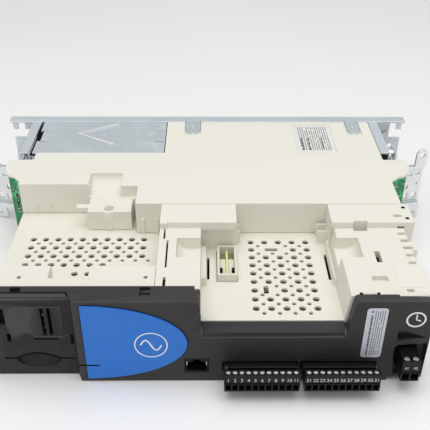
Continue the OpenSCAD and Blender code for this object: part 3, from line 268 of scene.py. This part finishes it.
FINISHES = {
    "mounting_plate": ZINC, "outlet_frame": ZINC, "inlet_frame": ZINC, "duct_skin": ZINC,
    "resistor_cover": ZINC, "earth_bracket_top": ZINC_BRIGHT, "earth_bracket_bottom": ZINC_BRIGHT,
    "heatsink": ALUMINIUM, "brake_resistor": ALUMINIUM, "cover_clip": BRASS,
    "cover_rivets": ALUMINIUM, "fan_frame": FAN_BLACK, "fan_rotor": FAN_BLACK,
    "fan_guard": WIRE_STEEL, "power_board": BOARD_GREEN, "control_board": BOARD_GREEN,
    "igbt_module": MODULE_WHITE, "rectifier_module": MODULE_GREY, "bus_capacitors": SLEEVE,
    "filter_choke": COPPER, "filter_capacitors": FILM_YELLOW, "inrush_relay": RELAY_BLUE,
    "board_link": HEADER_BLACK, "board_spacers": BRASS, "processor_chip": CHIP,
    "base_shell": IVORY, "rear_side_cover": IVORY, "top_front_cover": IVORY,
    "module_bay_cover": IVORY, "module_socket": IVORY_SHADED, "module_blade": LIME,
    "cover_screw": SCREW_STEEL, "bracket_screws": SCREW_STEEL, "front_bezel": CHARCOAL,
    "badge_plate": BADGE_BLUE, "keypad_panel": CHARCOAL_PANEL, "keypad_pins": SHADED_GOLD,
    "card_reader": CHARCOAL_PANEL, "network_socket": HEADER_BLACK, "network_pins": SHADED_GOLD,
    "control_header_a": HEADER_BLACK, "control_header_b": HEADER_BLACK,
    "relay_header": HEADER_BLACK, "control_plug_a": TERMINAL_BLACK,
    "control_plug_b": TERMINAL_BLACK, "relay_plug": TERMINAL_BLACK,
    "plug_a_screws": ZINC_BRIGHT, "plug_b_screws": ZINC_BRIGHT, "relay_screws": ZINC_BRIGHT,
    "status_lamp": LAMP, "front_label": LABEL_SILVER, "front_mark": INK_WHITE,
    "splash_screen": SCREEN_CARD, "rating_label": LABEL_WHITE, "supply_socket": SLATE,
    "motor_socket": SLATE, "encoder_socket": WIRE_STEEL,
}

# Width of the rounding on each node's edges, in millimetres
ROUNDING = {
    "rear_side_cover": 0.45, "top_front_cover": 0.3, "module_bay_cover": 0.3, "base_shell": 0.4,
    "front_bezel": 0.3, "keypad_panel": 0.2, "badge_plate": 0.2, "module_socket": 0.2,
    "mounting_plate": 0.3, "outlet_frame": 0.25, "inlet_frame": 0.25, "resistor_cover": 0.12,
    "control_plug_a": 0.12, "control_plug_b": 0.12, "relay_plug": 0.15, "supply_socket": 0.3,
    "motor_socket": 0.3, "encoder_socket": 0.3, "earth_bracket_top": 0.2,
    "earth_bracket_bottom": 0.2, "fan_frame": 0.3, "cover_screw": 0.15, "bracket_screws": 0.2,
    "heatsink": 0.2, "brake_resistor": 0.3, "filter_capacitors": 0.5, "inrush_relay": 0.5,
    "bus_capacitors": 0.8, "igbt_module": 0.4, "rectifier_module": 0.4, "processor_chip": 0.2,
}


def round_edges(made, width):
    """Rounds sharp edges by modifiers alone. Width is in millimetres."""
    weld = made.modifiers.new("weld", "WELD")
    weld.merge_threshold = 0.002 * MM
    bevel = made.modifiers.new("bevel", "BEVEL")
    bevel.width = width * MM
    bevel.segments = 2
    bevel.limit_method = "ANGLE"
    bevel.angle_limit = math.radians(32)
    bevel.use_clamp_overlap = False
    bevel.miter_outer = "MITER_ARC"
    bevel.loop_slide = False
    bevel.harden_normals = True


def finish_node(name):
    """Gives a CAD node its material, and rounds its edges by modifiers alone."""
    node = NODES[name]
    if not node.material_slots:
        node.data.materials.append(FINISHES[name])
    for slot in node.material_slots:
        slot.material = FINISHES[name]
    if name in ROUNDING:
        round_edges(node, ROUNDING[name])


for node_name in FINISHES:
    finish_node(node_name)


# ---- Added pieces ----

def rectangle(u, v):
    """The outline between two places along one axis and two along another."""
    return [(u[0], v[0]), (u[1], v[0]), (u[1], v[1]), (u[0], v[1])]


class Shape:
    """Solids in one mesh, given in millimetres, that become one piece."""

    def __init__(self):
        self.mesh = bmesh.new()

    def prism(self, axis, span, outline):
        """An outline drawn out along an axis. It lists the other two places in x, y, z order."""
        order = {"x": lambda t, u, v: (t, u, v), "y": lambda t, u, v: (u, t, v),
            "z": lambda t, u, v: (u, v, t)}[axis]
        rings = [[self.mesh.verts.new(at(*order(t, u, v))) for u, v in outline] for t in span]
        self.mesh.faces.new(rings[0])
        self.mesh.faces.new(rings[1])
        for i in range(len(outline)):
            j = (i + 1) % len(outline)
            self.mesh.faces.new((rings[0][i], rings[0][j], rings[1][j], rings[1][i]))

    def block(self, x, y, z):
        self.prism("z", z, rectangle(x, y))

    def rod(self, axis, span, centre, radius, sides=28):
        turns = [2 * math.pi * i / sides for i in range(sides)]
        self.prism(axis, span,
            [(centre[0] + radius * math.cos(a), centre[1] + radius * math.sin(a)) for a in turns])

    def ribbon(self, axis, span, path, width, closed=False):
        """A band of even width along a path, drawn out along an axis."""
        count = len(path)
        sides = [[], []]
        for i, (u, v) in enumerate(path):
            before = path[i - 1] if i or closed else path[i]
            after = path[(i + 1) % count] if i + 1 < count or closed else path[i]
            du, dv = after[0] - before[0], after[1] - before[1]
            length = math.hypot(du, dv)
            for side, sign in zip(sides, (0.5, -0.5)):
                side.append((u - dv / length * width * sign, v + du / length * width * sign))
        for i in range(count if closed else count - 1):
            j = (i + 1) % count
            self.prism(axis, span, [sides[0][i], sides[0][j], sides[1][j], sides[1][i]])

    def piece(self, name, material, slot=None, body="drive", rounding=0.0):
        bmesh.ops.recalc_face_normals(self.mesh, faces=self.mesh.faces)
        mesh = bpy.data.meshes.new(name)
        self.mesh.to_mesh(mesh)
        self.mesh.free()
        mesh.shade_smooth()
        mesh.set_sharp_from_angle(angle=math.radians(32))
        mesh.materials.append(material)
        made = bpy.data.objects.new(name, mesh)
        bpy.context.scene.collection.objects.link(made)
        if rounding:
            round_edges(made, rounding)
        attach(made, body)
        return made


# How far print stands proud of its surface
INK = 0.05
# The plugs' faces stand back above the ledge over their wire entries
SETBACK = 0.6
CONTROL_POLES = 11
CONTROL_PITCH = 3.81
RELAY_NUMBERS_APART = 5.0
# Height of the covers' raised front part, and of the black sheets of painted shade just under the vented
# floors
STEP_TOP = 57.5
UNDER_FLOOR = (34.2, 35.9)


def add_numerals(name, numbers, places, y, z, height, body):
    """Numbers printed on a front face, each centred on its place across the drive."""
    size_per_height, narrowing, boldness = 1.42, 0.88, 0.03
    ink = bmesh.new()
    for number, x in zip(numbers, places):
        digits = bpy.data.curves.new("digits", "FONT")
        digits.body = str(number)
        digits.size = height * size_per_height * MM
        digits.offset = boldness * MM
        digits.align_x = "CENTER"
        digits.align_y = "CENTER"
        digits.extrude = INK / 2 * MM
        holder = bpy.data.objects.new("digits", digits)
        flat = bpy.data.meshes.new_from_object(holder)
        flat.transform(Matrix.Translation(at(x, y, z)) @ Matrix.Rotation(math.pi / 2, 4, "X")
            @ Matrix.Diagonal((narrowing, 1, 1, 1)))
        ink.from_mesh(flat)
        bpy.data.objects.remove(holder)
        bpy.data.curves.remove(digits)
        bpy.data.meshes.remove(flat)
    mesh = bpy.data.meshes.new(name)
    ink.to_mesh(mesh)
    ink.free()
    mesh.materials.append(INK_PALE)
    made = bpy.data.objects.new(name, mesh)
    bpy.context.scene.collection.objects.link(made)
    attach(made, body)


def add_terminal_marks():
    """Terminal numbers on the plugs, and the orange coding pegs behind their end screws."""
    for letter, first in (("a", 1), ("b", 21)):
        plug = f"control_plug_{letter}"
        low, high = place_of(plug)
        middle = (low.x + high.x) / 2
        places = [middle + (i - (CONTROL_POLES - 1) / 2) * CONTROL_PITCH for i in range(CONTROL_POLES)]
        add_numerals(f"{plug}_numbers", range(first, first + CONTROL_POLES), places,
            low.y + SETBACK - INK / 2, low.z + 8.1, 2.5, plug)
        peg = Shape()
        x = low.x + 1.4 if letter == "a" else high.x - 1.4
        peg.rod("z", (high.z - 2.5, high.z - 0.9), (x, low.y + 7.9), 0.5)
        peg.piece(f"{plug}_coding_peg", CODING_ORANGE, body=plug, rounding=0.15)
    low, high = place_of("relay_plug")
    middle = (low.x + high.x) / 2
    places = (middle - RELAY_NUMBERS_APART / 2, middle + RELAY_NUMBERS_APART / 2)
    add_numerals("relay_plug_numbers", (41, 42), places,
        low.y + SETBACK - INK / 2, low.z + 9.6, 2.0, "relay_plug")


def add_badge_symbol():
    """A plain ring around one wave."""
    face = place_of("badge_plate")[0].y
    span = (face - INK, face + INK)
    mid_x, mid_z, radius = -32.5, 30.0, 9.2
    half_wave, wave_height = 6, 3.8
    symbol = Shape()
    ring = [(mid_x + radius * math.cos(math.radians(a)), mid_z + radius * math.sin(math.radians(a)))
        for a in range(0, 360, 6)]
    symbol.ribbon("y", span, ring, 0.7, closed=True)
    steps = 28
    wave = [(mid_x - half_wave + 2 * half_wave * i / steps,
        mid_z + wave_height * math.sin(2 * math.pi * i / steps)) for i in range(steps + 1)]
    symbol.ribbon("y", span, wave, 0.9)
    symbol.piece("badge_symbol", INK_WHITE, "label_white")


def add_badge_lines():
    """The slit that runs into the badge, and the seam around it, both filled with black as painted
    shadow.
    """
    low, high = place_of("badge_plate")
    face = low.y
    # Painted shadow: a black sheet fills the slit
    slit = Shape()
    slit.prism("y", (face - 0.03, face + 0.2), [(-70.5, 13.3), (-63.2, 13.5), (-62.4, 14.0),
        (-63.2, 14.5), (-70.5, 14.6)])
    slit.block((-75.3, -70.5), (-0.03, 0.2), (12.6, 13.8))
    slit.piece("badge_slit_shadow", FOAM_BLACK, "black_plastic")
    half = (high.z - low.z) / 2
    outline = [(low.x + (high.x - low.x) * math.cos(math.radians(a)),
        low.z + half + half * math.sin(math.radians(a))) for a in range(-90, 91, 5)]
    # Painted shadow: a black band along the seam around the badge
    seam = Shape()
    seam.ribbon("y", (-0.04, 0.3), outline, 1.0)
    seam.block((low.x - 0.35, low.x + 0.2), (-0.04, 0.3), (low.z - 0.2, high.z + 0.2))
    seam.piece("badge_seam_shadow", FOAM_BLACK, "black_plastic")


def add_print(name, material, axis, span, along, rows, seed, height, longest=3.2):
    """Rows of short bars that stand in for small print. Each row is a place across the drive."""
    gap, shortest, keeping = 0.35, 0.3, 0.93
    chance = random.Random(seed)
    bars = Shape()
    for row in rows:
        place = along[0]
        while place < along[1]:
            length = min(chance.uniform(0.5, longest), along[1] - place)
            if length > shortest and chance.random() < keeping:
                bar = rectangle((row - height / 2, row + height / 2), (place, place + length))
                bars.prism(axis, span, bar)
            place += length + gap
    bars.piece(name, material, "label_white")


def add_label_print():
    """Small print on the two labels, and the film that closes the gap around the rating label."""
    low, high = place_of("front_label")
    span = (low.y - INK, low.y + INK)
    along = (low.z + 2.0, high.z - 2.0)
    add_print("front_label_heading", INK_GREY, "y", span, along, [low.x + 3.2], 3, 1.1, longest=2.2)
    rows = [low.x + 5.0 + 1.25 * i for i in range(5)]
    add_print("front_label_print", INK_GREY, "y", span, along, rows, 4, 0.4)
    low, high = place_of("rating_label")
    overlap, film_top = 0.9, high.z + 0.08
    film = Shape()
    film.block((low.x - overlap, high.x + overlap), (low.y - overlap, high.y + overlap),
        (high.z - 0.12, film_top))
    film.piece("rating_label_film", LABEL_WHITE, "label_white")
    span = (film_top - 0.01, film_top + INK)
    along = (low.y + 3.0, high.y - 3.0)
    rows = [low.x + 3.0 + 1.65 * i for i in range(14)]
    add_print("rating_label_print", INK_FAINT, "z", span, along, rows, 5, 0.55)
    rows = [low.x + 3.9, low.x + 9.0, low.x + 19.2]
    add_print("rating_label_heading", INK_GREY, "z", span, (low.y + 3.0, low.y + 22.0), rows, 6, 1.0,
        longest=2.4)


def add_front_mark_hands():
    """Two hands that make the front ring a plain waiting-time clock."""
    low, high = place_of("front_mark")
    middle = (low.x + high.x) / 2, (low.z + high.z) / 2
    hands = Shape()
    for angle, length in ((90, 3.9), (-20, 2.9)):
        tip = (middle[0] + length * math.cos(math.radians(angle)),
            middle[1] + length * math.sin(math.radians(angle)))
        hands.ribbon("y", (low.y, high.y), [middle, tip], 0.75)
    hands.piece("front_mark_hands", INK_WHITE, "label_white")


def add_board_parts():
    """Small parts soldered on the power board where its ends show beyond the covers."""
    face = place_of("power_board")[0].y
    chance = random.Random(11)
    board_ends = (-141.2, -131.5), (129.5, 141.2)
    part_sizes = (1.6, 0.8, 0.5), (2.0, 1.2, 0.6), (2.6, 1.8, 0.8)
    rows, lowest_row, row_pitch = 13, 6, 3.7
    dark, tan, pads = Shape(), Shape(), Shape()
    for x_low, x_high in board_ends:
        for row in range(rows):
            z = lowest_row + row * row_pitch
            x = x_low
            while x < x_high - 2:
                w, h, t = chance.choice(part_sizes)
                z0 = z + chance.uniform(0, 1.0)
                part = chance.choice((dark, dark, dark, tan))
                if chance.random() < 0.45:
                    part.block((x + 0.3, x + w - 0.3), (face - t, face + 0.05), (z0, z0 + h))
                    for side in (x, x + w - 0.4):
                        pads.block((side, side + 0.4), (face - t * 0.7, face + 0.05), (z0, z0 + h))
                x += w + chance.uniform(0.5, 1.4)
    dark.piece("board_parts_dark", CHIP, "chip_black", rounding=0.06)
    tan.piece("board_parts_tan", PART_TAN, rounding=0.06)
    pads.piece("board_pads", CHROME, rounding=0.05)


def add_socket_details():
    """Inside of the module socket: the halves beside its blade, keys, well and contacts; halves and well
    are coloured darker as painted shade.
    """
    low, high = place_of("module_socket")
    wall, insert_end, well_floor = 1.8, low.y + 19.6, high.z - 7.9
    insert = Shape()
    for x in ((low.x + wall, 11.1), (12.7, high.x - wall)):
        insert.block(x, (low.y + 2.1, insert_end), (well_floor, high.z - 3.0))
    insert.piece("socket_insert", IVORY_SHADED, "ivory_plastic", rounding=0.2)
    keys = Shape()
    for x in (low.x + wall, high.x - wall - 1.5):
        keys.prism("x", (x, x + 1.5), [(low.y + 5.5, high.z - 3.1), (low.y + 9.2, high.z - 3.1),
            (low.y + 9.2, high.z - 1.4), (low.y + 5.5, high.z - 1.4)])
    keys.piece("socket_keys", FOAM_BLACK, "black_plastic", rounding=0.15)
    # Painted shade: the well is coloured dark tan for its depth
    well = Shape()
    well.block((low.x + wall, high.x - wall), (insert_end, high.y - 2), (well_floor, high.z - 6.0))
    well.piece("socket_well", WELL_SHADE_TAN, rounding=0.1)
    contacts = Shape()
    for x in (10.75, 12.55):
        for i in range(12):
            y = low.y + 3.4 + i * 1.3
            contacts.block((x, x + 0.5), (y, y + 0.75), (high.z - 4.6, high.z - 3.3))
    contacts.piece("socket_contacts", CONTACT_BROWN, "gold_contacts", rounding=0.06)


def add_cover_details():
    """Dark strips of painted shade under the bay's slots, dark sheets of painted shade in deep windows,
    and marks and a pad on the blocks.
    """
    # Painted shade: black strips seen through the bay's slots
    shade_strips = Shape()
    shade_strips.block((-2.6, 2.8), (46, 72), UNDER_FLOOR)
    shade_strips.block((73.2, 78.2), (45.5, 75), UNDER_FLOOR)
    shade_strips.piece("slot_shade_strips", FOAM_BLACK, "black_plastic", rounding=0.2)
    # Painted shade: black sheets at the bottoms of deep windows
    shade_sheets = Shape()
    for x, y, depth in (((100.85, 103.95), (40.3, 50.9), 4.6), ((-27.85, -26.85), (64.1, 73.9), 3),
            ((-25.65, -24.65), (35.6, 62.4), 3), ((-26.15, -24.65), (15.6, 26.4), 2)):
        shade_sheets.block(x, y, (STEP_TOP - depth - 0.4, STEP_TOP - depth))
    shade_sheets.block((33.6, 36.9), (34.5, 38.6), UNDER_FLOOR)
    shade_sheets.piece("window_shade_sheets", FOAM_BLACK, "black_plastic", rounding=0.05)
    marks = Shape()
    for y in ((91.2, 93.4), (78.8, 81.0)):
        marks.block((126.2, 128.6), y, (61.76, 61.86))
    marks.piece("block_marks", FOAM_BLACK, "black_plastic", rounding=0.03)
    pad = Shape()
    pad.block((109.4, 124.2), (16.8, 35.6), (STEP_TOP - 0.5, STEP_TOP + 0.3))
    pad.piece("cover_pad", IVORY, "ivory_plastic", rounding=0.25)


def add_keypad_details():
    """Shadow line of the card slot, and black sheets of painted shade at the rear of the keypad bay's
    recesses.
    """
    face = place_of("keypad_panel")[0].y + 0.4
    level, rise, start, step = 13.4, 4.2, -112.4, 2.18
    arch = [(-119.2, level), (start, level)]
    arch += [(start + i * step, level + rise * math.sin(math.radians(15 * i))) for i in range(1, 12)]
    arch += [(-86.2, level), (-78.2, 12.9)]
    slot = Shape()
    slot.ribbon("y", (face - 0.04, face + 0.5), arch, 1.25)
    slot.piece("card_slot_shadow", FOAM_BLACK, "black_plastic")
    # Painted shade: black sheets at the rear of the recesses
    backs = Shape()
    for x, depth, z in (((-119.3, -114.3), (2.5, 2.9), (39.4, 51.8)),
            ((-79.1, -77.5), (-0.06, 0.3), (25, 32.2)), ((-115.4, -113.2), (2.5, 2.9), (26.4, 32.7)),
            ((-94.6, -92.0), (6.2, 6.6), (31.6, 52.6)), ((-90.6, -88.2), (2.5, 2.9), (31.6, 52.6))):
        backs.block(x, (face + depth[0], face + depth[1]), z)
    backs.piece("recess_shade_sheets", FOAM_BLACK, "black_plastic", rounding=0.05)


def add_resistor_details():
    """Dark strips of painted shade in the gaps beside the resistor cover, and a painted highlight along
    the crest of its rib.
    """
    low, high = place_of("resistor_cover")
    # Painted highlight: a band of lighter zinc along the rib's crest
    crest = Shape()
    rib = [(-70.6, 211.6), (-100.2, 196.0), (-71.5, 178.6)]
    crest.ribbon("z", (high.z - 0.3, high.z + 0.03), rib, 2.0)
    crest.piece("cover_rib_highlight", RIB_HIGHLIGHT_ZINC)
    # Painted shade: black strips fill the gaps beside the cover
    shade_strip = Shape()
    for x in ((-131.9, low.x + 2.6), (high.x, high.x + 0.35)):
        shade_strip.block(x, (low.y + 0.5, high.y - 0.5), (high.z - 4.6, high.z - 2.2))
    shade_strip.piece("resistor_shade_strip", FOAM_BLACK, "black_plastic", rounding=0.1)


def add_bezel_details():
    """Posts and tab of the latch behind the bezel's top, clip ramps, and the network socket's springs."""
    posts = Shape()
    for x in (84.6, 94.3):
        posts.rod("z", (56, 61.75), (x, 7.0), 0.95)
    posts.piece("latch_posts", HEADER_BLACK, "black_plastic", rounding=0.3)
    tab = Shape()
    tab.prism("x", (85.8, 93.1), [(7.0, 57), (8.4, 57), (8.4, 60.9), (7.6, 61.4), (7.0, 60.9)])
    tab.piece("latch_tab", IVORY_SHADED, "ivory_plastic", rounding=0.2)
    ramps = Shape()
    ramps.prism("x", (-37.8, -32.6), [(5.4, 58.8), (5.4, 60.9), (8.6, 59.6), (8.6, 58.8)])
    ramps.prism("x", (-109.8, -104.6), [(9.5, 58.2), (9.5, 59.8), (10.6, 59.2), (10.6, 58.2)])
    ramps.piece("clip_ramps", CHARCOAL_PANEL, "black_plastic", rounding=0.15)
    low, high = place_of("network_socket")
    springs = Shape()
    for x in (low.x + 1.05, high.x - 1.45):
        springs.block((x, x + 0.4), (low.y - 0.15, low.y + 2.4), (low.z + 5.6, low.z + 8.6))
    springs.piece("network_springs", CHROME, "socket_shield", rounding=0.1)


add_terminal_marks()
add_badge_symbol()
add_badge_lines()
add_label_print()
add_front_mark_hands()
add_board_parts()
add_socket_details()
add_cover_details()
add_keypad_details()
add_resistor_details()
add_bezel_details()


# ---- Camera, floor and light ----

SENSOR = 36.0
FOCAL_IN_IMAGE_SIDES = 1.6235
CAMERA_PLACE = (-0.5, -286.7, 314.0)
# Degrees down from level, round to the side, and about the line of sight
CAMERA_ANGLES = (34.25, -0.76, 0.41)


def aim_camera():
    pitch, yaw, roll = (math.radians(angle) for angle in CAMERA_ANGLES)
    forward = Vector((-math.sin(yaw) * math.cos(pitch), math.cos(yaw) * math.cos(pitch),
        -math.sin(pitch)))
    right = Vector((math.cos(yaw), math.sin(yaw), 0))
    up = right.cross(forward)
    right, up = (right * math.cos(roll) + up * math.sin(roll),
        up * math.cos(roll) - right * math.sin(roll))
    data = bpy.data.cameras.new("camera")
    data.sensor_width = SENSOR
    data.lens = SENSOR * FOCAL_IN_IMAGE_SIDES
    data.clip_start = 0.01
    camera = bpy.data.objects.new("camera", data)
    bpy.context.scene.collection.objects.link(camera)
    turn = Matrix((right, up, -forward)).transposed().to_4x4()
    camera.matrix_world = Matrix.Translation(at(*CAMERA_PLACE)) @ turn
    bpy.context.scene.camera = camera


def add_floor():
    """A plain pale floor with painted light: lighter at the front and darker towards the back."""
    mesh = bpy.data.meshes.new("floor")
    half = 3.0
    corners = [(-half, -half, 0), (half, -half, 0), (half, half, 0), (-half, half, 0)]
    mesh.from_pydata(corners, [], [(0, 1, 2, 3)])
    floor = bpy.data.objects.new("floor", mesh)
    bpy.context.scene.collection.objects.link(floor)
    s = Shading("floor")
    depth = s.node("ShaderNodeSeparateXYZ", {"Vector": s.places}).outputs["Y"]
    # Painted light: the floor's colour darkens from front to back
    paper_with_painted_light = s.mix(s.ramp(depth, -0.3, 0.5), (0.975, 0.97, 0.965), (0.86, 0.86, 0.855))
    s.feed("Base Color", s.mix(s.ramp(s.noise(3, 2), 0.35, 0.7, 0.0, 0.2), paper_with_painted_light, (0.95, 0.95, 0.945)))
    s.feed("Roughness", 0.75)
    s.feed("Specular IOR Level", 0.2)
    mesh.materials.append(s.material)


def add_light(name, place, target, size, power):
    data = bpy.data.lights.new(name, "AREA")
    data.shape = "RECTANGLE"
    data.size, data.size_y = size
    data.energy = power
    lamp = bpy.data.objects.new(name, data)
    bpy.context.scene.collection.objects.link(lamp)
    lamp.location = place
    lamp.rotation_euler = (Vector(target) - Vector(place)).to_track_quat("-Z", "Y").to_euler()


def add_lights():
    """A wide soft light overhead, a weak one from the front, and an even pale surrounding."""
    add_light("overhead", (0.05, -0.15, 1.5), (0, -0.05, 0), (1.6, 1.4), 15.3)
    add_light("front", (-0.5, -1.6, 0.9), (0, 0, 0.03), (1.4, 1.0), 1.7)
    world = bpy.data.worlds.new("studio")
    world.use_nodes = True
    sky = world.node_tree.nodes["Background"]
    sky.inputs["Color"].default_value = (0.985, 0.985, 0.98, 1)
    sky.inputs["Strength"].default_value = 0.5
    bpy.context.scene.world = world
    bpy.context.scene.view_settings.view_transform = "Standard"


aim_camera()
add_floor()
add_lights()
